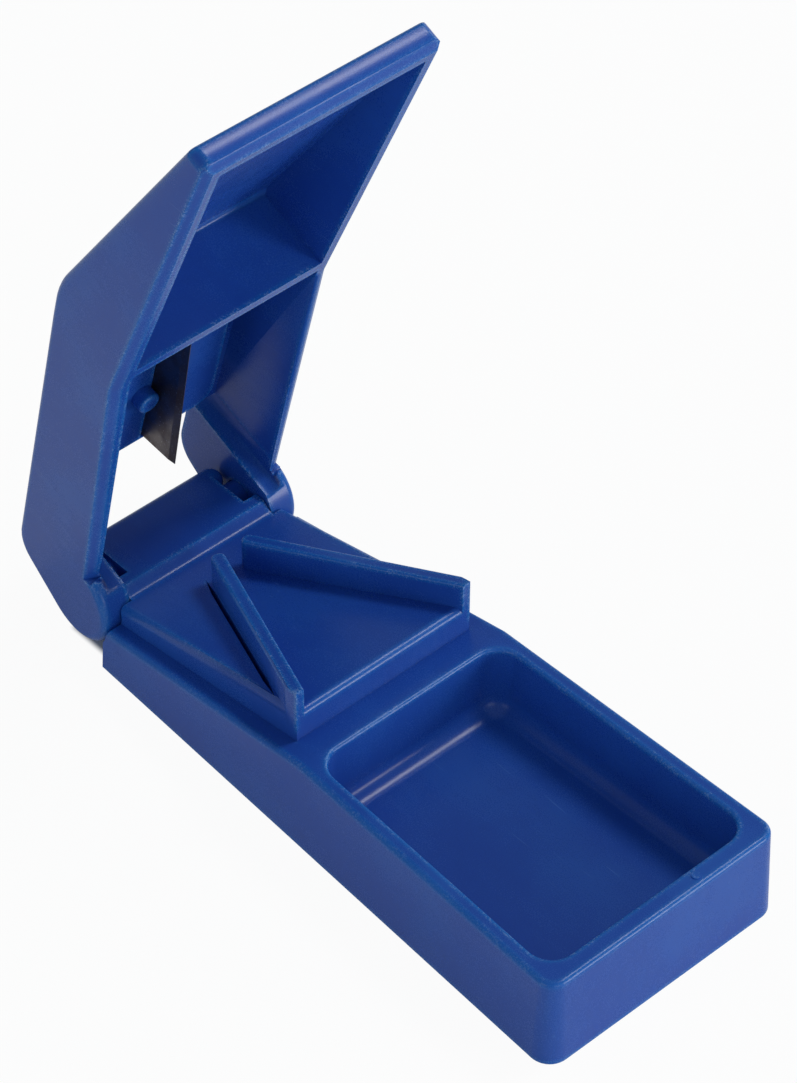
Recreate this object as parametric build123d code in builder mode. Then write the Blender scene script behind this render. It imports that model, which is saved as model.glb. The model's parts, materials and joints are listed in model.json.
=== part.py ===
from build123d import *
import os
from math import acos, atan2, cos, hypot, radians, sin, sqrt, tan

# Pocket pill cutter: a tapered box with a tray, a deck that slopes down to the hinge and carries a
# V holder, and a hinged lid with a steel blade. Millimetres, +X to the right, +Y from tray to hinge,
# +Z up. The origin is on the table, in the middle of the wall below the tray's rear wall. A station is
# a distance along Y from the front edge of the base. The lid is drawn at its closed stations and heights
# and stands open.

# Outer form, shared by the base and the closed lid
base_width = 34.0
base_length = 85.4
side_closing = 0.034
draft = 2.3
corner_radius = 2.5
edge_round = 0.6

# Tray, with its rim at the height where the base meets the lid
rim_height = 12.1
tray_depth = 6.1
tray_front = 2.9
tray_share = 0.4696
tray_side_wall = 1.9
tray_corner_radius = 3.0
tray_draft = 3.0
tray_floor_round = 2.2
tray_rim_round = 0.45
gate_mark_offset = 5.4
gate_mark_radius = 0.5
gate_mark_height = 0.12
tray_back = tray_share * base_length
tray_floor_height = rim_height - tray_depth

# Hinge line, at a height where the lid's round ears clear the table
hinge_inset = 4.6
ear_radius = 6.0
ear_table_gap = 1.0
hinge_station = base_length - hinge_inset
hinge_height = ear_radius + ear_table_gap

# Ledges and shoulders of the base
ledge_inset = 0.9
shoulder_reach = 5.3
shoulder_drop = 1.2
ledge_start = tray_back + ledge_inset
shoulder_station = hinge_station - shoulder_reach
shoulder_height = hinge_height - shoulder_drop

# Deck
deck_inset = 4.0
deck_rise = 3.4
crease_reach = 5.9
crease_rise = 1.45
deck_clearance = 0.4
deck_round = 0.8
crease_round = 1.0
deck_front = tray_back + deck_inset
deck_front_height = rim_height + deck_rise
deck_crease = hinge_station - crease_reach
deck_slope = (deck_front_height - hinge_height - crease_rise) / (deck_crease - deck_front)

# V holder and the slits along its outer feet
wing_tip_reach = 11.2
wing_tip_gap = 1.15
wing_end = 1.08
wing_thickness = 1.65
wing_height = 3.45
wing_taper = 0.031
wing_tip_round = 0.75
wing_edge_round = 0.3
slit_inset = 4.5
slit_lead = 1.4
slit_width = 0.5
slit_point = 3.0
slit_gap = 0.05
wing_tip_station = hinge_station - wing_tip_reach
wing_top_height = deck_front_height + wing_height
wing_top_slope = deck_slope - wing_taper
slit_first = deck_front + slit_inset
slit_last = wing_tip_station + slit_lead

# Ears and pins
ear_running_gap = 0.3
ear_side_gap = 0.1
pin_radius = 2.0
pin_length = 2.2
pin_lead = 0.5
pin_clearance = 0.07
pin_end_gap = 0.3
rest_opening = 66.7

# Hinge tongue: a block behind the deck's crease, and a plate that ends in a round rod
tongue_inset = 6.6
block_reach = 4.6
block_length = 1.4
block_round = 0.8
plate_inset = 1.85
plate_rise = 2.6
rod_radius = 1.5
rod_end_gap = 0.05
tongue_width = base_width - 2 * tongue_inset
plate_width = tongue_width - 2 * plate_inset
plate_height = hinge_height + plate_rise
block_front = hinge_station - block_reach
block_last = block_front + block_length
rod_station = base_length - rod_radius
rod_height = plate_height - rod_radius

# Underside of the base
outer_wall = 1.8
deck_wall = 2.0
tray_recess = 3.8
tongue_pocket_inset = 4.8
tongue_pocket_height = plate_height - deck_wall
tongue_pocket_first = hinge_station - tongue_pocket_inset

# Lid shell
lid_front = -3.6
lid_corner_radius = 1.8
lid_front_rise = 4.0
lid_front_slope = 0.228
lid_bend_inset = 4.0
lid_bend_round = 13.0
lid_end_rise = 10.17
lid_top_wall = 2.1
lid_end_reach = 3.5
lid_end_round = 4.0
lid_edge_round = 0.9
lid_side_wall = 3.4
lid_inner_closing = 0.0145
lid_inner_draft = 1.0
lid_front_wall = 2.1
lid_rim_gap = 0.1
lid_bevel_width = 1.2
lid_bevel_height = 0.75
window_length = 2.6
lobe_gap = 0.1
lid_front_height = rim_height + lid_front_rise
lid_bend = tray_back - lid_bend_inset
lid_end = hinge_station + lid_end_reach
lid_bend_height = lid_front_height + lid_front_slope * lid_bend
lid_back_slope = (lid_bend_height - hinge_height - lid_end_rise) / (lid_end - lid_bend)
lid_inner_width = base_width - 2 * lid_side_wall
lid_inner_front = lid_front + lid_front_wall
lobe_station = shoulder_station + lobe_gap
window_front = lobe_station - window_length

# Dividing rib under the lid's ceiling
rib_inset = 2.4
rib_thickness = 1.6
rib_station = tray_back - rib_inset

# Blade
blade_thickness = 0.35
blade_inset = 2.7
blade_reach = 12.5
blade_deck_gap = 0.5
blade_end_lean = 15.8
blade_bevel = 1.0
blade_edge = 0.06
blade_seat_gap = 0.02
blade_first = deck_front - blade_inset
blade_last = hinge_station - blade_reach

# Blade clamp
clamp_thickness = 1.2
clamp_inset = 4.0
clamp_offset = 0.6
clamp_rib_gap = 0.9
clamp_reach = 2.7
clamp_corner = 2.4
boss_radius = 1.4
boss_height = 1.7
boss_inset = 6.7
boss_round = 0.4
clamp_width = lid_inner_width - 2 * clamp_inset
clamp_first = rib_station + rib_thickness + clamp_rib_gap
clamp_last = blade_last + clamp_reach
boss_station = blade_last - boss_inset

# Working planes. The plan plane holds X and stations, the side plane holds stations and heights.
origin_station = tray_back + deck_wall / 2
plan = Plane(origin=(0, -origin_station, 0))
side = Plane(origin=(0, -origin_station, 0), x_dir=(0, 1, 0), z_dir=(1, 0, 0))
hinge_point = Vector(0, hinge_station - origin_station, hinge_height)
swing = Location(hinge_point) * Location((0, 0, 0), (-rest_opening, 0, 0)) * Location(-hinge_point)
lid_plan = Plane(swing * plan.location)
lid_side = Plane(swing * side.location)

# Lengths for cutting: one reaches past the part from anywhere in it, one a little past a face
beyond = 2 * base_width
overcut = 1.0


def half_width(station):
    """Half the outer width at the table, at a station."""
    return base_width / 2 - side_closing * station


def lid_half_width(station):
    """Half the outer width of the closed lid at the table, which widens less than the base does
    in front of the ledges."""
    widening = lid_inner_closing * max(0.0, ledge_start - station)
    return half_width(max(station, ledge_start)) + widening


def lid_inner_half_width(station):
    """Half the clear width between the lid's side walls, at a station."""
    return lid_inner_width / 2 - lid_inner_closing * station


def deck_half_width(station):
    """Half the width of the deck, which stands clear inside the closed lid."""
    return lid_inner_half_width(station) - deck_clearance


def ledge(station):
    """Height of the base's outer edge, on which the lid closes."""
    fall = (rim_height - shoulder_height) / (shoulder_station - ledge_start)
    return rim_height - fall * max(0.0, station - ledge_start)


def deck(station):
    """Height of the sloping deck."""
    return deck_front_height - deck_slope * (station - deck_front)


def lid_top(station):
    """Height of the closed lid's top: it rises from the front to the bend and falls to the hinge."""
    rise = lid_front_slope * min(station, lid_bend)
    fall = lid_back_slope * max(0.0, station - lid_bend)
    return lid_front_height + rise - fall


def ceiling(station):
    """Height of the closed lid's ceiling, one wall thickness square below its top."""
    slope = lid_front_slope if station < lid_bend else lid_back_slope
    return lid_top(station) - lid_top_wall * hypot(1, slope)


def tapered(stations, half):
    """Corners of a plan along stations, where half gives the half width at a station."""
    right = [(half(station), station) for station in stations]
    left = [(-half(station), station) for station in reversed(stations)]
    return right + left


def falling_plane(station, height, slope):
    """Plane through a station and height that falls toward the hinge by a slope."""
    return Plane(origin=(0, station - origin_station, height), x_dir=(1, 0, 0), z_dir=(0, slope, 1))


def flat_faces(part, plane):
    """Faces of a part that look the way of a plane's normal."""
    return [face for face in part.faces() if face.normal_at().dot(plane.z_dir) > 0.9999]


def is_at_height(face, height):
    """Whether a face lies at a height, within a hundredth."""
    return abs(face.center().Z - height) < 0.01


def closed_point(item):
    """Centre of a piece of the lid as X, station and height of the closed lid."""
    return lid_plan.to_local_coords(item.center())


def is_outer_top(edge):
    """Whether an edge of the lid lies at its top along an outer side wall, a corner or the front."""
    point = closed_point(edge)
    at_side = abs(point.X) > lid_inner_half_width(shoulder_station)
    at_front = point.Y < lid_front + lid_corner_radius
    return (at_side or at_front) and point.Z > lid_top(point.Y) - lid_edge_round


# Hollow under the ledges and the deck, open at the table. Its roof runs one wall below both.
with BuildPart() as under_ledges:
    with BuildSketch(plan):
        with BuildLine():
            Polyline(
                *tapered(
                    (tray_back + deck_wall, hinge_station - ear_radius - deck_wall),
                    lambda station: half_width(station) - outer_wall,
                ),
                close=True,
            )
        make_face()
    extrude(amount=rim_height, taper=draft)
    split(
        bisect_by=falling_plane(
            ledge_start,
            rim_height - deck_wall,
            (rim_height - shoulder_height) / (shoulder_station - ledge_start),
        ),
        keep=Keep.BOTTOM,
    )

with BuildPart() as under_deck:
    with BuildSketch(plan):
        with BuildLine():
            Polyline(
                *tapered(
                    (deck_front + deck_wall, hinge_station - ear_radius - deck_wall),
                    lambda station: deck_half_width(station) - deck_wall,
                ),
                close=True,
            )
        make_face()
    extrude(amount=deck_front_height)
    split(
        bisect_by=falling_plane(deck_front, deck_front_height - deck_wall, deck_slope),
        keep=Keep.BOTTOM,
    )

# Base: the box below the rim, ledges and shoulders
with BuildPart() as base:
    with BuildSketch(plan) as footprint:
        with BuildLine():
            Polyline(*tapered((0, shoulder_station), half_width), close=True)
        make_face()
        fillet(footprint.vertices().group_by(Axis.Y)[0], corner_radius)
    extrude(amount=rim_height, taper=draft)
    with BuildSketch(side):
        with BuildLine():
            Polyline(
                (-overcut, 0),
                (-overcut, rim_height),
                (ledge_start, rim_height),
                (shoulder_station + overcut, ledge(shoulder_station + overcut)),
                (shoulder_station + overcut, 0),
                close=True,
            )
        make_face()
    extrude(amount=beyond, both=True, mode=Mode.INTERSECT)
    rim_face = base.faces().filter_by(Axis.Z).sort_by(Axis.Z)[-1]
    sloping_faces = base.faces().filter_by(lambda face: 0.5 < face.normal_at().Z < 0.9999)
    ledge_face = sloping_faces.sort_by(Axis.Z)[-1]
    top_edges = rim_face.edges() + ledge_face.edges()
    outer_edges = [
        edge
        for edge in top_edges
        if edge.geom_type != GeomType.LINE or abs(edge.tangent_at(0).X) < 0.9
    ]
    front_edge = rim_face.edges().sort_by(Axis.Y)[0]
    fillet(outer_edges + [front_edge], edge_round)

    # Deck, standing on the box and sloping down to the hinge
    with BuildSketch(plan.offset(shoulder_height - edge_round)):
        with BuildLine():
            Polyline(*tapered((deck_front, shoulder_station), deck_half_width), close=True)
        make_face()
    extrude(amount=deck_front_height)
    deck_plane = falling_plane(deck_front, deck_front_height, deck_slope)
    split(bisect_by=deck_plane, keep=Keep.BOTTOM)
    deck_face = flat_faces(base, deck_plane)[0]
    fillet(deck_face.edges().sort_by(Axis.Y)[:-1], deck_round)

    # V holder: two wings that open toward the tray, trimmed by the plane of their flat tops
    wing_widening = deck_half_width(deck_front) - wing_end - wing_tip_gap
    wing_spread = atan2(wing_widening, wing_tip_station - deck_front)
    along = Vector(sin(wing_spread), -cos(wing_spread))
    across = Vector(cos(wing_spread), sin(wing_spread))
    tip = Vector(wing_tip_gap, wing_tip_station)
    wing_length = (wing_tip_station - deck_front + deck_wall) / cos(wing_spread)
    with BuildSketch(plan.offset(shoulder_height)) as wings:
        with BuildLine():
            Polyline(
                tip,
                tip + along * wing_length,
                tip + along * wing_length + across * wing_thickness,
                tip + across * wing_thickness,
                close=True,
            )
        make_face()
        fillet(wings.vertices().group_by(Axis.Y)[-1] + wings.vertices().group_by(Axis.Y)[-2], wing_tip_round)
        mirror(about=Plane.YZ)
        with BuildLine():
            Polyline(*tapered((deck_front, shoulder_station), deck_half_width), close=True)
        make_face(mode=Mode.INTERSECT)
    extrude(amount=wing_top_height)
    wing_plane = falling_plane(deck_front, wing_top_height, wing_top_slope)
    split(bisect_by=wing_plane, keep=Keep.BOTTOM)
    wing_edges = [edge for face in flat_faces(base, wing_plane) for edge in face.edges()]
    front_reach = deck_front + 2 * wing_thickness - origin_station
    fillet([edge for edge in wing_edges if edge.center().Y > front_reach], wing_edge_round)

    # Slits with pointed ends along the wings' outer feet, right through the deck
    foot = tip + across * (wing_thickness + slit_gap + slit_width / 2)
    slit_start = foot + along * ((foot.Y - slit_last) / cos(wing_spread))
    slit_end = foot + along * ((foot.Y - slit_first) / cos(wing_spread))
    with BuildSketch(plan):
        with BuildLine():
            Polyline(
                slit_start,
                slit_start + along * slit_point + across * (slit_width / 2),
                slit_end - along * slit_point + across * (slit_width / 2),
                slit_end,
                slit_end - along * slit_point - across * (slit_width / 2),
                slit_start + along * slit_point - across * (slit_width / 2),
                close=True,
            )
        make_face()
        mirror(about=Plane.YZ)
    extrude(amount=beyond, mode=Mode.SUBTRACT)

    # Shoulders hollowed round the lid's ears
    for end in (-1, 1):
        with BuildSketch(side.offset(end * tongue_width / 2)):
            with Locations((hinge_station, hinge_height)):
                Circle(ear_radius + ear_running_gap)
        extrude(amount=end * beyond, mode=Mode.SUBTRACT)

    # Hinge tongue between the ears: the block rises from the deck's crease
    with BuildSketch(side) as block:
        with BuildLine():
            Polyline(
                (deck_crease - deck_wall, 0),
                (deck_crease - deck_wall, deck(deck_crease - deck_wall)),
                (deck_crease, deck(deck_crease)),
                (block_front, plate_height),
                (block_last, plate_height),
                (block_last, 0),
                close=True,
            )
        make_face()
        crease_corner = block.vertices().sort_by_distance((deck_crease, deck(deck_crease), 0))[0]
        front_corner = block.vertices().sort_by_distance((block_front, plate_height, 0))[0]
        back_corner = block.vertices().sort_by_distance((block_last, plate_height, 0))[0]
        fillet(crease_corner, crease_round)
        fillet(front_corner, block_round)
        fillet(back_corner, block_round)
    extrude(amount=tongue_width / 2, both=True)

    # The plate runs back from the block to the rod along its rear edge
    with BuildSketch(side):
        with BuildLine():
            Polyline(
                (block_front, 0),
                (block_front, plate_height),
                (rod_station, plate_height),
                (rod_station, rod_height),
                (base_length, rod_height),
                (base_length, 0),
                close=True,
            )
        make_face()
        with Locations((rod_station, rod_height)):
            Circle(rod_radius)
    extrude(amount=plate_width / 2, both=True)
    rod_reach = tongue_width / 2 - rod_end_gap - rod_radius
    with BuildSketch(side):
        with Locations((rod_station, rod_height)):
            Circle(rod_radius)
    extrude(amount=rod_reach, both=True)
    with Locations(
        (-rod_reach, rod_station - origin_station, rod_height),
        (rod_reach, rod_station - origin_station, rod_height),
    ):
        Sphere(rod_radius)

    # Hinge pins on the plate's sides, with a lead so that the ears snap over them
    for end in (-1, 1):
        with BuildSketch(side.offset(end * plate_width / 2)):
            with Locations((hinge_station, hinge_height)):
                Circle(pin_radius)
        extrude(amount=end * (plate_inset + pin_length))
    flanks = base.faces().filter_by(Axis.X)
    pin_ends = [flanks.sort_by(Axis.X)[0], flanks.sort_by(Axis.X)[-1]]
    chamfer([edge for face in pin_ends for edge in face.edges()], pin_lead)

    # Tray
    with BuildSketch(plan.offset(rim_height)) as mouth:
        with BuildLine():
            Polyline(
                *tapered(
                    (tray_front, tray_back),
                    lambda station: half_width(station) - rim_height * tan(radians(draft)) - tray_side_wall,
                ),
                close=True,
            )
        make_face()
        fillet(mouth.vertices(), tray_corner_radius)
    extrude(amount=-(rim_height - tray_floor_height), taper=tray_draft, mode=Mode.SUBTRACT)
    tray_floor = [face for face in flat_faces(base, Plane.XY) if is_at_height(face, tray_floor_height)][0]
    fillet(tray_floor.edges(), tray_floor_round)
    rim_face = [face for face in flat_faces(base, Plane.XY) if is_at_height(face, rim_height)][0]
    fillet(rim_face.inner_wires()[0].edges(), tray_rim_round)

    # Gate mark, a low round stud on the front rim
    with BuildSketch(plan.offset(rim_height)):
        with Locations((gate_mark_offset, (tray_front + edge_round) / 2)):
            Circle(gate_mark_radius)
    extrude(amount=gate_mark_height)

    # Hollows of the underside: the recess under the tray, the space below the deck and the tongue
    with BuildSketch(plan) as recess:
        with BuildLine():
            Polyline(
                *tapered((outer_wall, tray_back), lambda station: half_width(station) - outer_wall),
                close=True,
            )
        make_face()
        fillet(recess.vertices(), corner_radius - outer_wall / 2)
    extrude(amount=tray_recess, taper=draft, mode=Mode.SUBTRACT)
    add(under_ledges.part, mode=Mode.SUBTRACT)
    add(under_deck.part, mode=Mode.SUBTRACT)
    with BuildSketch(plan):
        with BuildLine():
            Polyline(
                *tapered(
                    (tongue_pocket_first, base_length - deck_wall),
                    lambda station: plate_width / 2 - deck_wall,
                ),
                close=True,
            )
        make_face()
    extrude(amount=tongue_pocket_height, mode=Mode.SUBTRACT)

# Inside of the lid, between its side walls and under its ceiling, up to the lobes
inner_bend = lid_bend + lid_top_wall * (hypot(1, lid_front_slope) - hypot(1, lid_back_slope)) / (
    lid_front_slope + lid_back_slope
)
with BuildPart() as lid_inside:
    with BuildSketch(lid_plan):
        with BuildLine():
            Polyline(*tapered((lid_inner_front, lobe_station), lid_inner_half_width), close=True)
        make_face()
    extrude(amount=beyond, taper=lid_inner_draft)
    with BuildSketch(lid_side):
        with BuildLine():
            Polyline(
                (lid_inner_front - overcut, -overcut),
                (lid_inner_front - overcut, ceiling(lid_inner_front - overcut)),
                (inner_bend, ceiling(inner_bend)),
                (lobe_station + overcut, ceiling(lobe_station + overcut)),
                (lobe_station + overcut, -overcut),
                close=True,
            )
        make_face()
    extrude(amount=beyond, both=True, mode=Mode.INTERSECT)

# Material outside the bevel of the lid's rim: its slanted side follows both stretches of the rim
with BuildPart() as lid_bevel:
    with BuildLine(lid_plan) as rim_path:
        Polyline(
            *[
                (
                    lid_half_width(station) - tan(radians(draft)) * (ledge(station) + lid_rim_gap),
                    station,
                    ledge(station) + lid_rim_gap,
                )
                for station in (lid_front - lid_bevel_width, ledge_start, shoulder_station)
            ]
        )
    with BuildSketch(Plane(origin=rim_path.line @ 0, x_dir=(1, 0, 0), z_dir=rim_path.line % 0)):
        with BuildLine():
            Polyline(
                (-1.5 * lid_bevel_width, lid_bevel_height / 2),
                (lid_bevel_width / 2, -1.5 * lid_bevel_height),
                (lid_bevel_width / 2, lid_bevel_height / 2),
                close=True,
            )
        make_face()
    sweep(transition=Transition.RIGHT)
    mirror(about=Plane.YZ)

# Lid: a wedge-shaped shell with a rounded front wall, a rear window and two thick lobes with ears
end_corner = Vector(lid_end, lid_top(lid_end))
hinge_centre = Vector(hinge_station, hinge_height)
to_corner = end_corner - hinge_centre
tangent_angle = atan2(to_corner.Y, to_corner.X) - acos(ear_radius / to_corner.length)
ear_back = hinge_centre + Vector(cos(tangent_angle), sin(tangent_angle)) * ear_radius
ear_front_height = ledge(hinge_station - ear_radius) + lid_rim_gap
ear_front_station = hinge_station - sqrt(ear_radius**2 - (hinge_height - ear_front_height) ** 2)
front_lean = tan(radians(draft)) * (rim_height + lid_bevel_height)

with BuildPart() as lid:
    with BuildSketch(lid_plan) as lid_footprint:
        with BuildLine():
            Polyline(
                *tapered((lid_front - front_lean, ledge_start, base_length + ear_radius), lid_half_width),
                close=True,
            )
        make_face()
        fillet(lid_footprint.vertices().group_by(Axis.Y)[0], lid_corner_radius)
    extrude(amount=beyond / 2, taper=draft)
    with BuildSketch(lid_side) as outline:
        with BuildLine():
            Polyline(
                (ear_front_station, ear_front_height),
                (ledge_start, rim_height + lid_rim_gap),
                (lid_front + lid_bevel_width, rim_height + lid_rim_gap),
                (lid_front - lid_bevel_width, rim_height + lid_rim_gap + 2 * lid_bevel_height),
                (lid_front - lid_bevel_width, lid_top(lid_front - lid_bevel_width)),
                (lid_bend, lid_top(lid_bend)),
                end_corner,
                ear_back,
            )
            ThreePointArc(
                ear_back,
                (hinge_station, hinge_height - ear_radius),
                (ear_front_station, ear_front_height),
            )
        make_face()
        bend_corner = outline.vertices().sort_by_distance((lid_bend, lid_top(lid_bend)))[0]
        fillet(bend_corner, lid_bend_round)
        rear_corner = outline.vertices().sort_by_distance(end_corner)[0]
        fillet(rear_corner, lid_end_round)
    extrude(amount=beyond, both=True, mode=Mode.INTERSECT)

    # Rounded top edges, round the front, along both sides and round the lobes
    fillet([edge for edge in lid.edges() if is_outer_top(edge)], lid_edge_round)

    # The bevel along the outside of the rim
    add(lid_bevel.part, mode=Mode.SUBTRACT)

    # The inside, the window behind the ceiling and the space between the lobes
    add(lid_inside.part, mode=Mode.SUBTRACT)
    with BuildSketch(lid_plan):
        with BuildLine():
            Polyline(*tapered((window_front, lobe_station), lid_inner_half_width), close=True)
        make_face()
        with BuildLine():
            Polyline(
                *tapered(
                    (lobe_station - overcut, base_length + ear_radius),
                    lambda station: tongue_width / 2 + ear_side_gap,
                ),
                close=True,
            )
        make_face()
    extrude(amount=beyond / 2, mode=Mode.SUBTRACT)

    # Dividing rib between the front bay and the blade's bay
    rib_top = ceiling(rib_station + rib_thickness) + lid_top_wall / 2
    with BuildSketch(lid_side):
        with BuildLine():
            Polyline(
                (rib_station, rim_height + lid_rim_gap),
                (rib_station + rib_thickness, rim_height + lid_rim_gap),
                (rib_station + rib_thickness, rib_top),
                (rib_station, rib_top),
                close=True,
            )
        make_face()
    extrude(amount=lid_inner_half_width(rib_station) + lid_edge_round, both=True)

    # Blind bearing holes in the ears
    for end in (-1, 1):
        with BuildSketch(lid_side.offset(end * (tongue_width / 2 + ear_side_gap))):
            with Locations((hinge_station, hinge_height)):
                Circle(pin_radius + pin_clearance)
        extrude(amount=end * (pin_length + pin_end_gap - ear_side_gap), mode=Mode.SUBTRACT)

# Blade: its ground edge runs just above the closed deck, its back stands in the clamp's slot
end_drift = tan(radians(blade_end_lean))
edge_start = Vector(blade_first, deck(blade_first) + blade_deck_gap)
edge_end = Vector(blade_last, deck(blade_last) + blade_deck_gap)
back_end = edge_end + Vector(end_drift, 1) * (ceiling(blade_last) - edge_end.Y)
back_end = Vector(back_end.X, ceiling(back_end.X) - blade_seat_gap)
edge_plane = Plane(
    origin=plan.from_local_coords(Vector(0, edge_start.X, edge_start.Y)),
    x_dir=(1, 0, 0),
    z_dir=(0, -1, deck_slope),
)
with BuildPart() as blade:
    with BuildSketch(Plane(swing * edge_plane.location)):
        with BuildLine():
            Polyline(
                (-blade_edge / 2, 0),
                (blade_edge / 2, 0),
                (blade_thickness / 2, blade_bevel),
                (blade_thickness / 2, beyond),
                (-blade_thickness / 2, beyond),
                (-blade_thickness / 2, blade_bevel),
                close=True,
            )
        make_face()
    extrude(amount=-beyond)
    with BuildSketch(lid_side):
        with BuildLine():
            Polyline(
                (blade_first, edge_start.Y - blade_bevel),
                (edge_end.X - end_drift * blade_bevel, edge_end.Y - blade_bevel),
                back_end,
                (blade_first, ceiling(blade_first) - blade_seat_gap),
                close=True,
            )
        make_face()
    extrude(amount=blade_thickness, both=True, mode=Mode.INTERSECT)

# Blade clamp: a plate against the ceiling with a slot for the blade's back, and two round bosses
clamp_middle = (clamp_first + clamp_last) / 2
clamp_plane = Plane(swing * falling_plane(clamp_middle, ceiling(clamp_middle), lid_back_slope).location)
boss_offset = boss_radius + blade_thickness / 2 + blade_seat_gap
with BuildPart() as blade_clamp:
    with BuildSketch(clamp_plane) as plate:
        with Locations((clamp_offset, 0)):
            RectangleRounded(clamp_width, (clamp_last - clamp_first) * hypot(1, lid_back_slope), clamp_corner)
    extrude(amount=-clamp_thickness)
    for end in (-1, 1):
        with BuildSketch(clamp_plane.offset(-clamp_thickness)):
            with Locations((end * boss_offset, boss_station - clamp_middle)):
                Circle(boss_radius)
        extrude(amount=-boss_height)
    boss_ends = [face for face in flat_faces(blade_clamp, -clamp_plane) if len(face.edges()) == 1]
    fillet([edge for face in boss_ends for edge in face.edges()], boss_round)
    with BuildSketch(lid_side):
        with BuildLine():
            Polyline(
                (blade_first - blade_seat_gap, rim_height),
                (back_end.X + end_drift * clamp_thickness + blade_seat_gap, rim_height),
                (back_end.X + end_drift * clamp_thickness + blade_seat_gap, lid_top(clamp_first)),
                (blade_first - blade_seat_gap, lid_top(clamp_first)),
                close=True,
            )
        make_face()
    extrude(amount=blade_thickness / 2 + blade_seat_gap, both=True, mode=Mode.SUBTRACT)

os.makedirs("parts", exist_ok=True)
base.part.label = "base"
export_step(base.part, "parts/base.step")
lid.part.label = "lid"
export_step(lid.part, "parts/lid.step")
blade.part.label = "blade"
export_step(blade.part, "parts/blade.step")
blade_clamp.part.label = "blade_clamp"
export_step(blade_clamp.part, "parts/blade_clamp.step")
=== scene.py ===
# %% [markdown]
# A pocket pill cutter is two blue mouldings, a strip of steel and a plate that holds it. The box below
# has a tray and a sloping deck with a V of two wings. The lid above turns on two pins and carries the
# blade. The solids already have their real sizes and places. This scene dresses smooth copies of them
# with finishes, light and a camera, makes the tray deeper and rounds two corners of the lid. The first
# step is to load the solids, which stay where they are.

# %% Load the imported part
import json
import math

import bmesh
import bpy
import numpy as np
from mathutils import Matrix, Vector


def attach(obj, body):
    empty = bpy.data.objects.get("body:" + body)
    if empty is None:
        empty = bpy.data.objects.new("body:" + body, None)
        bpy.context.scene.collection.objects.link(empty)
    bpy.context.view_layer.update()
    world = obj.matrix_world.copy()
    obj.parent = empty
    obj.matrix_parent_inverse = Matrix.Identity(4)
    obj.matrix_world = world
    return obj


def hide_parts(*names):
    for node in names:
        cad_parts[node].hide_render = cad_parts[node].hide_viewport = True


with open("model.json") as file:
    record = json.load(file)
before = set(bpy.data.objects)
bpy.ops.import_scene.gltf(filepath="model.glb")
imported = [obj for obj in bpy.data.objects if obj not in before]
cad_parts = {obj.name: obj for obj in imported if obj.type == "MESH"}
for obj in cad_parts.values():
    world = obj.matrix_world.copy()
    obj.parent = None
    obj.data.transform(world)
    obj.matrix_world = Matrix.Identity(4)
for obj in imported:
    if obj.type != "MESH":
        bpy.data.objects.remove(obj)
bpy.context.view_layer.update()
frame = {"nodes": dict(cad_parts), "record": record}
MM = 0.001


# %% [markdown]
# The camera comes first, because every later choice is judged through it. A long lens far away keeps
# the sides of the box nearly parallel. The camera is described as a photographer would say it: how far
# round it stands, how high it looks down, how far off it is and what it aims at. Its three axes follow
# from those angles, and a small roll levels the frame.

# %% Camera
photo_width = 797
focal_pixels = 4205.7
sensor_width = 36.0
camera_azimuth = math.radians(-42.3703)
camera_elevation = math.radians(44.3784)
camera_roll = math.radians(0.4)
camera_distance = 455.84 * MM
camera_aim = Vector((0.0, -1.1, 9.0)) * MM
camera_slide_right = -1.1891 * MM
camera_slide_up = 19.4547 * MM


def camera_axes(azimuth, elevation, roll):
    """Right, up and forward of a camera that looks along +Y turned by the azimuth and down by the
    elevation, with right and up turned about forward by the roll."""
    forward = Vector(
        (
            -math.sin(azimuth) * math.cos(elevation),
            math.cos(azimuth) * math.cos(elevation),
            -math.sin(elevation),
        )
    )
    level_right = Vector((math.cos(azimuth), math.sin(azimuth), 0.0))
    level_up = level_right.cross(forward)
    right = math.cos(roll) * level_right + math.sin(roll) * level_up
    up = math.cos(roll) * level_up - math.sin(roll) * level_right
    return right, up, forward


right, up, forward = camera_axes(camera_azimuth, camera_elevation, camera_roll)
camera_place = camera_aim + right * camera_slide_right + up * camera_slide_up
camera_place = camera_place - forward * camera_distance
camera_data = bpy.data.cameras.new("photo_camera")
camera_data.sensor_fit = "HORIZONTAL"
camera_data.sensor_width = sensor_width
camera_data.lens = focal_pixels / photo_width * sensor_width
camera_data.clip_start = 0.01
camera = bpy.data.objects.new("photo_camera", camera_data)
bpy.context.scene.collection.objects.link(camera)
camera_turn = Matrix((right, up, -forward)).transposed().to_4x4()
camera.matrix_world = Matrix.Translation(camera_place) @ camera_turn
bpy.context.scene.camera = camera
print("camera at", [round(value / MM, 1) for value in camera_place], "mm, lens", round(camera_data.lens, 1))

# %% [markdown]
# Finishes are made of nodes, and a node tree drawn by hand is hard to read. Written as sums it is easy:
# a small class wraps one output of a node, and adding or multiplying two of them adds the Math node
# that does it. Every other node comes from one method that takes its type, its settings and what goes
# into its sockets.

# %% Sums on a surface
mask_samples = 4


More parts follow.
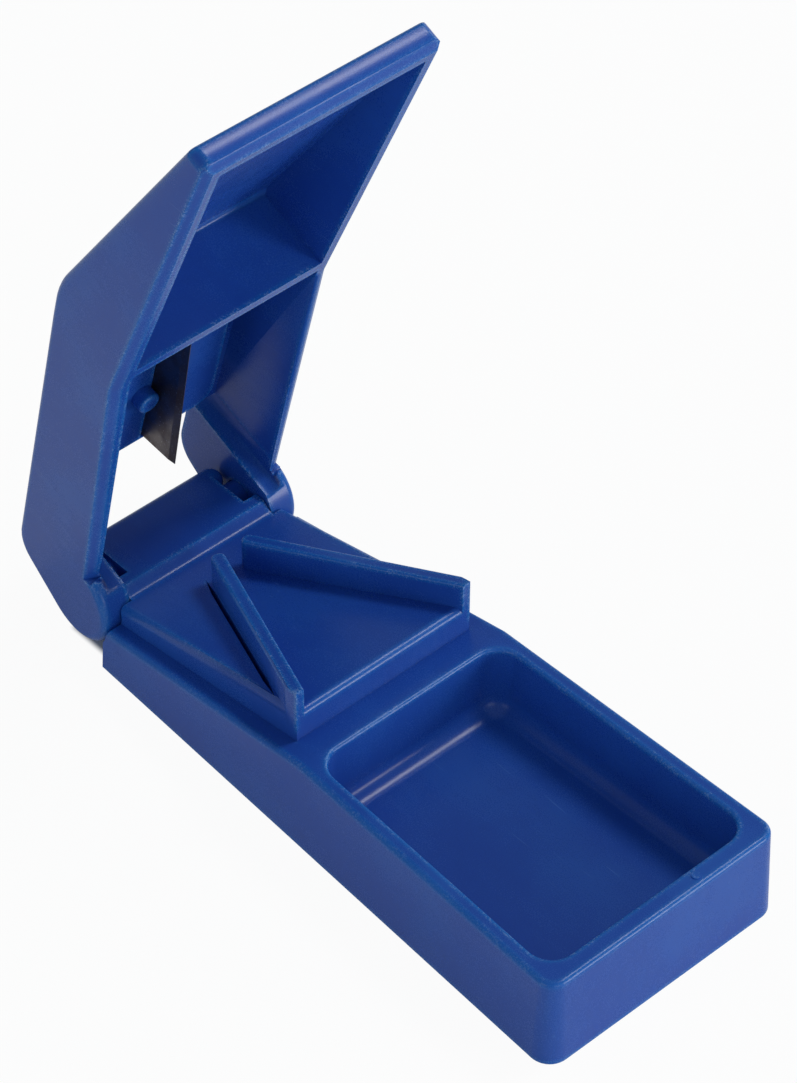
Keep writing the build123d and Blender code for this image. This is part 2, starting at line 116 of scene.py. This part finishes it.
class Amount:
    """A number that varies over a surface. Sums of it build Math nodes in the same finish."""

    def __init__(self, finish, socket):
        self.finish = finish
        self.socket = socket

    def _math(self, operation, first, second, clamp=False):
        settings = {"operation": operation, "use_clamp": clamp}
        return self.finish.node("ShaderNodeMath", settings, {0: first, 1: second})

    def __add__(self, other):
        return self._math("ADD", self, other)

    def __sub__(self, other):
        return self._math("SUBTRACT", self, other)

    def __mul__(self, other):
        return self._math("MULTIPLY", self, other)

    def __radd__(self, other):
        return self._math("ADD", other, self)

    def __rsub__(self, other):
        return self._math("SUBTRACT", other, self)

    def __rmul__(self, other):
        return self._math("MULTIPLY", other, self)

    def limited(self):
        """The amount kept between nought and one."""
        return self._math("ADD", self, 0.0, clamp=True)

    def between(self, low, high):
        """Nought below low, one above high, and an eased step from one to the other."""
        inputs = {"Value": self, "From Min": low, "From Max": high}
        return self.finish.node("ShaderNodeMapRange", {"interpolation_type": "SMOOTHSTEP"}, inputs)


class Finish:
    """A material whose nodes are added by one method and end in one Principled shader."""

    def __init__(self, name):
        self.material = bpy.data.materials.new(name)
        self.material.use_nodes = True
        self.tree = self.material.node_tree
        self.shader = self.tree.nodes["Principled BSDF"]
        self.place = self.node("ShaderNodeTexCoord", output="Object")

    def feed(self, node, inputs):
        """Gives a node's sockets their values or links."""
        for key, value in inputs.items():
            socket = node.inputs[key]
            if isinstance(value, Amount):
                self.tree.links.new(value.socket, socket)
            else:
                socket.default_value = value

    def node(self, kind, settings=None, inputs=None, output=0):
        """Adds a node: its settings first, then its inputs, and gives back one of its outputs."""
        node = self.tree.nodes.new(kind)
        for key, value in (settings or {}).items():
            setattr(node, key, value)
        self.feed(node, inputs or {})
        return Amount(self, node.outputs[output])

    def noise(self, size, detail=2.0, place=None, roughness=0.5):
        """A cloud pattern whose blobs are about one size across, in metres."""
        inputs = {"Vector": place or self.place, "Scale": 1.0 / size, "Detail": detail}
        inputs["Roughness"] = roughness
        return self.node("ShaderNodeTexNoise", {"noise_dimensions": "3D"}, inputs, "Fac")

    def mix(self, amount, first, second):
        """A colour that goes from the first to the second as the amount goes from nought to one."""
        node = self.tree.nodes.new("ShaderNodeMix")
        node.data_type = "RGBA"
        self.feed(node, {0: amount, 6: first, 7: second})
        return Amount(self, node.outputs[2])

    def edge(self, radius):
        """Nought on flat ground, and more where the surface turns within the radius."""
        rounded = self.node("ShaderNodeBevel", {"samples": mask_samples}, {"Radius": radius})
        straight = self.node("ShaderNodeNewGeometry", output="Normal")
        directions = {0: rounded, 1: straight}
        likeness = self.node("ShaderNodeVectorMath", {"operation": "DOT_PRODUCT"}, directions, "Value")
        return 1.0 - likeness

    def open_to_air(self, reach):
        """One on flat and outer ground, and less in corners that have walls within the reach."""
        settings = {"samples": mask_samples, "only_local": True}
        return self.node("ShaderNodeAmbientOcclusion", settings, {"Distance": reach}, "AO")

    def relief(self, height, depth, normal=None):
        """A normal that shows a height pattern, whose tallest part stands up by the depth in metres."""
        inputs = {"Height": height, "Strength": 1.0, "Distance": depth}
        if normal is not None:
            inputs["Normal"] = normal
        return self.node("ShaderNodeBump", None, inputs)

    def stretched(self, scale, turn=(0.0, 0.0, 0.0)):
        """Object coordinates turned and squeezed, so that a pattern on them runs one way."""
        inputs = {"Vector": self.place, "Rotation": turn, "Scale": scale}
        return self.node("ShaderNodeMapping", {"vector_type": "POINT"}, inputs)


print("Amount and Finish are ready")

# %% [markdown]
# The box and the lid are moulded from one royal blue plastic with a satin gloss. Up close it isn't even:
# the colour drifts a little where the melt flowed, and a fine grain breaks up the light. The open edges
# and bevels are painted a brighter blue as a highlight, with pale painted glints over a fine stipple, where
# light would catch the rounded edges. Thin scratches from use lie in some areas. Each of these is a noise
# pattern of its own size. A Bevel node finds the edges: it gives the direction averaged round a point, and
# where that differs from the surface's own direction there is an edge. An Ambient Occlusion node takes the
# inner corners out again, so the painted highlight stays on the outer edges.

# %% Blue moulded plastic
deep_blue = (0.014, 0.064, 0.370, 1.0)
worn_blue = (0.022, 0.112, 0.470, 1.0)
# The next colour is a painted highlight for the open rounded edges.
edge_highlight_blue = (0.004, 0.165, 0.520, 1.0)
# The next colour is the pale of painted glint flecks on the edge crests, and it also tints the scratches a
# little.
glint_and_scratch_blue = (0.260, 0.420, 0.720, 1.0)
plastic_ior = 1.49
plastic_gloss = 0.32
flow_size = 3.2 * MM
grain_size = 0.13 * MM
stipple_size = 0.26 * MM
patch_size = 1.9 * MM
scratch_width = 0.30 * MM
scratched_area = 7.0 * MM
corner_reach = 2.0 * MM
# The width of the edge band that is painted brighter as a highlight and given stipple bumps.
highlight_edge_width = 0.95 * MM
flow_relief = 0.022 * MM
grain_relief = 0.007 * MM
scratch_relief = 0.006 * MM


def moulded_blue(name, drift_size, scratch_turn):
    """Satin blue plastic with drifting colour, a painted highlight with painted glinting flecks along its
    open edges, and a few fine scratches. The worn share is a sum of the drift, the flow, the grain and the
    scratches. An edge shows where the surface turns and lies open, and is painted brighter there as a
    highlight. The flecks, painted glints over a fine stipple, lie on its crest, in patches."""
    finish = Finish(name)
    drift = finish.noise(drift_size, 3.0)
    flow_place = finish.stretched((1.0, 0.30, 0.55), (0.5, 0.2, 0.3))
    flow = finish.noise(flow_size, 4.0, flow_place, 0.6)
    grain = finish.noise(grain_size, 1.0)
    stipple = finish.noise(stipple_size, 2.0, roughness=0.65)
    # Inner corners are kept out of the painted edge highlight and its glints.
    outer = finish.open_to_air(corner_reach).between(0.84, 0.98)
    turning = finish.edge(highlight_edge_width)
    # Edge: the band painted brighter as a highlight; it also sets where the stipple bumps lie.
    edge = turning.between(0.001, 0.035) * outer
    crest = turning.between(0.010, 0.080) * outer
    patch = finish.noise(patch_size, 2.0).between(0.34, 0.60)
    # Painted glint flecks on the edge crests, over a fine stipple.
    glint_fleck = stipple.between(0.53, 0.60) * crest * (0.25 + patch * 0.75)
    scratch_place = finish.stretched((1.0, 0.035, 1.0), scratch_turn)
    scratched = finish.noise(scratched_area, 1.0).between(0.48, 0.66)
    scratch = finish.noise(scratch_width, 1.0, scratch_place).between(0.70, 0.76) * scratched
    worn = drift.between(0.35, 0.75) * 0.45 + flow * 0.30
    worn = worn + grain.between(0.40, 0.64) * 0.28 + scratch * 0.5
    body = finish.mix((worn - 0.06).limited(), deep_blue, worn_blue)
    # The open edges are painted brighter here as a highlight.
    edge_highlighted = finish.mix((edge * (0.50 + grain * 0.60)).limited(), body, edge_highlight_blue)
    colour = finish.mix((glint_fleck * 0.85 + scratch * 0.12).limited(), edge_highlighted, glint_and_scratch_blue)
    rough = 0.17 + drift * 0.08 + flow * 0.06 + grain * 0.06 + glint_fleck * 0.10
    skin = finish.relief(flow, flow_relief)
    skin = finish.relief(grain * (0.30 + edge * 1.2) + stipple * edge, grain_relief, skin)
    skin = finish.relief(scratch * -1.0, scratch_relief, skin)
    finish.feed(
        finish.shader,
        {
            "Base Color": colour,
            "Roughness": rough,
            "Normal": skin,
            "IOR": plastic_ior,
            "Specular IOR Level": plastic_gloss,
        },
    )
    return finish.material


base_plastic = moulded_blue("blue_plastic_box", 14.0 * MM, (0.0, 0.0, 0.4))
lid_plastic = moulded_blue("blue_plastic_lid", 11.0 * MM, (0.9, 0.2, 0.3))
clamp_plastic = moulded_blue("blue_plastic_plate", 9.0 * MM, (0.9, 0.0, 0.8))
print("plastics:", base_plastic.name, lid_plastic.name, clamp_plastic.name)

# %% [markdown]
# The blade is a strip of rolled steel with a ground edge. Rolling leaves fine lines along the strip, and
# use leaves brown stains and small pale nicks. The steel is a metal with a medium gloss. Its lines are a
# noise pattern squeezed until it runs one way, and its stains are a larger noise.

# %% Blade steel
rolled_grey = (0.200, 0.165, 0.150, 1.0)
stained_brown = (0.150, 0.095, 0.072, 1.0)
nick_grey = (0.550, 0.540, 0.520, 1.0)
line_width = 0.08 * MM
stain_size = 3.0 * MM
nick_size = 0.22 * MM
line_relief = 0.004 * MM


def blade_finish():
    """Rolled steel: long fine lines, brown stains and small nicks."""
    finish = Finish("blade_steel")
    lines = finish.noise(line_width, 2.0, finish.stretched((1.0, 0.06, 0.06)))
    stain = finish.noise(stain_size, 4.0).between(0.34, 0.66)
    nick = finish.noise(nick_size, 1.0).between(0.68, 0.73)
    steel_colour = finish.mix(stain * 0.85, rolled_grey, stained_brown)
    colour = finish.mix(nick * 0.6, steel_colour, nick_grey)
    rough = 0.26 + lines * 0.18 + stain * 0.14
    skin = finish.relief(lines, line_relief)
    finish.feed(finish.shader, {"Base Color": colour, "Roughness": rough, "Normal": skin, "Metallic": 1.0})
    return finish.material


steel = blade_finish()
print("steel:", steel.name)

# %% [markdown]
# A solid's own mesh is a loose bag of triangles, and it would look faceted. A copy of it is welded, its
# flat faces are joined into single ones, and it is shaded smooth except at its real edges. The normals
# are weighted by face area, so a wide flat face stays flat right up to its rounded edge.

# %% Smooth pieces from the solids
weld_distance = 0.002 * MM
flat_angle = math.radians(0.4)
sharp_angle = math.radians(32)


def smooth_piece(node, name, body, material, reshape=None):
    """A welded copy of a solid that replaces it, with smooth shading between its real edges. The
    corners go through the reshape function, if there is one."""
    mesh = bpy.data.meshes.new(name)
    shape = bmesh.new()
    shape.from_mesh(frame["nodes"][node].data)
    bmesh.ops.remove_doubles(shape, verts=shape.verts, dist=weld_distance)
    bmesh.ops.dissolve_limit(
        shape, angle_limit=flat_angle, verts=shape.verts, edges=shape.edges, delimit={"NORMAL"}
    )
    shape.to_mesh(mesh)
    shape.free()
    if reshape is not None:
        corners = np.empty(3 * len(mesh.vertices))
        mesh.vertices.foreach_get("co", corners)
        mesh.vertices.foreach_set("co", reshape(corners.reshape(-1, 3)).ravel())
    mesh.shade_smooth()
    mesh.set_sharp_from_angle(angle=sharp_angle)
    mesh.materials.append(material)
    piece = bpy.data.objects.new(name, mesh)
    bpy.context.scene.collection.objects.link(piece)
    weigh = piece.modifiers.new("flat_faces_stay_flat", "WEIGHTED_NORMAL")
    weigh.keep_sharp = True
    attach(piece, body)
    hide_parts(node)
    print(name, len(mesh.polygons), "faces")


print("pieces are made from", sorted(frame["nodes"]))

# %% [markdown]
# Seen through the camera, the real tray is deeper than the solid's: its floor lies about 3 mm above the
# table. The tray's floor, its rounded foot and the roof of the hollow below it all go down by one length,
# and the rim stays. The walls between them are flat, so they only grow longer. The hollow gets lower in
# the same way, and its walls are squeezed between the table and the new roof.

# %% The box with its deeper tray
openings = {opening["name"]: opening["box_m"] for opening in frame["record"]["physics"]["openings"]}
tray_box = np.array(openings["tray"])
tray_border = 3.7 * MM
tray_drop = 2.9 * MM
hollow_roof = 3.8 * MM
wall_top = 11.1 * MM
rim_foot = 11.4 * MM
above_all = 30.0 * MM
lowering_seen = 0.01 * MM


def deepened(points):
    """The points with the tray and the hollow below it lowered. It changes only the heights of points in
    the plan of the tray's box, widened by the border. From the hollow's roof to the wall's top, a height
    loses the drop. Below the roof it shrinks in proportion, and from the rim's foot up it stays."""
    low = tray_box[0] - tray_border
    high = tray_box[1] + tray_border
    inside = np.all((points[:, :2] > low[:2]) & (points[:, :2] < high[:2]), axis=1)
    solid_levels = (0.0, hollow_roof, wall_top, rim_foot, above_all)
    seen_levels = (0.0, hollow_roof - tray_drop, wall_top - tray_drop, rim_foot, above_all)
    lowered = points.copy()
    lowered[inside, 2] = np.interp(points[inside, 2], solid_levels, seen_levels)
    print("tray corners lowered:", int(np.sum(lowered[:, 2] < points[:, 2] - lowering_seen)))
    return lowered


smooth_piece("base", "base_shell", "base", base_plastic, deepened)

# %% [markdown]
# The lid's two front corners are round on the real moulding, also across the bevel of the rim. The solid
# leaves them pointed where its bevels meet. On a plan of the closed lid, each corner has a centre, and a
# point further out than the corner's radius is pulled in onto the circle. The open lid is laid flat for
# this by turning its points about the hinge, and turned back afterwards.

# %% The lid with its round front corners
hinge_y = 39.7 * MM
hinge_z = 7.0 * MM
rest_opening = math.radians(66.7)
corner_radius = 2.2 * MM


def turned_about_hinge(points, angle):
    """The points turned about the hinge line: Y and Z become sums of themselves with the angle's cosine
    and sine, and X stays."""
    y = points[:, 1] - hinge_y
    z = points[:, 2] - hinge_z
    turned_y = hinge_y + y * math.cos(angle) - z * math.sin(angle)
    turned_z = hinge_z + y * math.sin(angle) + z * math.cos(angle)
    return np.column_stack((points[:, 0], turned_y, turned_z))


def round_fronted(points):
    """The points with both front corners rounded in plan. Outwards and forwards from the corner's
    centre, a distance longer than the radius becomes the radius."""
    flat = turned_about_hinge(points, rest_opening)
    front = flat[:, 1].min()
    half = np.abs(flat[flat[:, 1] < front + corner_radius, 0]).max()
    outwards = np.maximum(np.abs(flat[:, 0]) - (half - corner_radius), 0.0)
    forwards = np.maximum(front + corner_radius - flat[:, 1], 0.0)
    distance = np.hypot(outwards, forwards)
    corner = (outwards > 0.0) & (forwards > 0.0) & (distance > corner_radius)
    pull = np.where(corner, corner_radius / np.maximum(distance, corner_radius), 1.0)
    flat[:, 0] -= np.sign(flat[:, 0]) * outwards * (1.0 - pull)
    flat[:, 1] += forwards * (1.0 - pull)
    print("front", round(front / MM, 2), "half width", round(half / MM, 2))
    print("corner points pulled in:", int(corner.sum()))
    return turned_about_hinge(flat, -rest_opening)


smooth_piece("lid", "lid_shell", "lid", lid_plastic, round_fronted)

# %% [markdown]
# The blade and the plate that holds it need no new shape. They ride on the lid, so they turn with it.

# %% The blade and its plate
smooth_piece("blade", "blade_strip", "lid", steel)
smooth_piece("blade_clamp", "clamp_plate", "lid", clamp_plastic)

# %% [markdown]
# The part stands on a white table in soft light that comes low from the front, so the upright faces are
# brighter than the flat tops. The small key lamp at the front right draws thin bright lines along the
# rounded edges, and weaker lamps keep the other sides blue. The table comes first. It is pale and takes
# the shadow, and for the camera and for reflections it also glows, so that it looks white without any
# more light on the part. It doesn't glow below the box, where no light comes, so the slits look dark.

# %% Table
table_half = 2.0
table_grey = (0.86, 0.86, 0.86, 1.0)
table_roughness = 0.9
glow_share = 0.95
mirrored_glow = 0.22
covered_side = (12.5 * MM, 13.5 * MM)
covered_front = (-39.0 * MM, -38.0 * MM)
covered_back = (41.0 * MM, 42.0 * MM)


def table_finish():
    """A pale matt table that the camera and reflections see as nearly white, except below the box. The
    covered share is one there: it falls to nought across the two sides, the front and the back."""
    finish = Finish("white_table")
    finish.feed(finish.shader, {"Base Color": table_grey, "Roughness": table_roughness})
    seen = finish.node("ShaderNodeLightPath", output="Is Camera Ray")
    mirrored = finish.node("ShaderNodeLightPath", output="Is Glossy Ray")
    through = finish.node("ShaderNodeLightPath", output="Is Transmission Ray")
    glow = finish.node("ShaderNodeEmission", None, {"Color": (1.0, 1.0, 1.0, 1.0), "Strength": 1.0})
    across = finish.node("ShaderNodeSeparateXYZ", None, {0: finish.place}, "X")
    along = finish.node("ShaderNodeSeparateXYZ", None, {0: finish.place}, "Y")
    aside = finish.node("ShaderNodeMath", {"operation": "ABSOLUTE"}, {0: across})
    covered = (1.0 - aside.between(*covered_side)) * along.between(*covered_front)
    covered = covered * (1.0 - along.between(*covered_back))
    share = (seen + through + mirrored * mirrored_glow).limited() * glow_share * (1.0 - covered)
    shader_out = Amount(finish, finish.shader.outputs[0])
    both = finish.node("ShaderNodeMixShader", None, {0: share, 1: shader_out, 2: glow})
    output = finish.tree.nodes["Material Output"]
    finish.tree.links.new(both.socket, output.inputs["Surface"])
    return finish.material


def lay_table(half):
    """A flat square of four corners, half its width out from the centre, at the level of nought."""
    corners = np.array([(-1, -1), (1, -1), (1, 1), (-1, 1)], dtype=float) * half
    points = np.column_stack((corners, np.zeros(4)))
    mesh = bpy.data.meshes.new("table_top")
    mesh.from_pydata(points.tolist(), [], [(0, 1, 2, 3)])
    mesh.materials.append(table_finish())
    table = bpy.data.objects.new("table_top", mesh)
    bpy.context.scene.collection.objects.link(table)
    print("table", 2.0 * half, "m wide")


lay_table(table_half)

# %% [markdown]
# Five square lamps stand round the part. Their places are in metres, and all of them face the same point
# in the part's middle. The sky adds a weak cool light from everywhere.

# %% Lamps and sky
lit_point = Vector((0.0, 0.0, 0.03))
lamps = (
    ("key_lamp", (0.38, -0.70, 0.14), 0.20, 1.9, (1.0, 0.98, 0.96)),
    ("front_lamp", (-0.20, -0.80, 0.14), 0.45, 1.1, (0.90, 0.98, 1.0)),
    ("left_lamp", (-0.78, -0.05, 0.18), 0.35, 0.7, (0.88, 0.96, 1.0)),
    ("right_lamp", (0.85, 0.05, 0.22), 0.30, 0.8, (1.0, 1.0, 1.0)),
    ("top_lamp", (0.42, -0.13, 0.76), 0.20, 1.9, (1.0, 0.98, 1.0)),
)
sky_tint = (0.76, 0.92, 1.0, 1.0)
sky_strength = 0.30


def soft_lamp(name, place, width, watts, tint):
    """A square lamp that hangs at a place and faces the lit point."""
    data = bpy.data.lights.new(name, "AREA")
    data.shape = "SQUARE"
    data.size = width
    data.energy = watts
    data.color = tint
    lamp = bpy.data.objects.new(name, data)
    bpy.context.scene.collection.objects.link(lamp)
    away = Vector(place) - lit_point
    turn = away.to_track_quat("Z", "Y").to_matrix().to_4x4()
    lamp.matrix_world = Matrix.Translation(Vector(place)) @ turn


for lamp_values in lamps:
    soft_lamp(*lamp_values)

world = bpy.data.worlds.new("studio_sky")
bpy.context.scene.world = world
world.use_nodes = True
sky = world.node_tree.nodes["Background"]
sky.inputs["Color"].default_value = sky_tint
sky.inputs["Strength"].default_value = sky_strength
bpy.context.scene.view_settings.view_transform = "Standard"
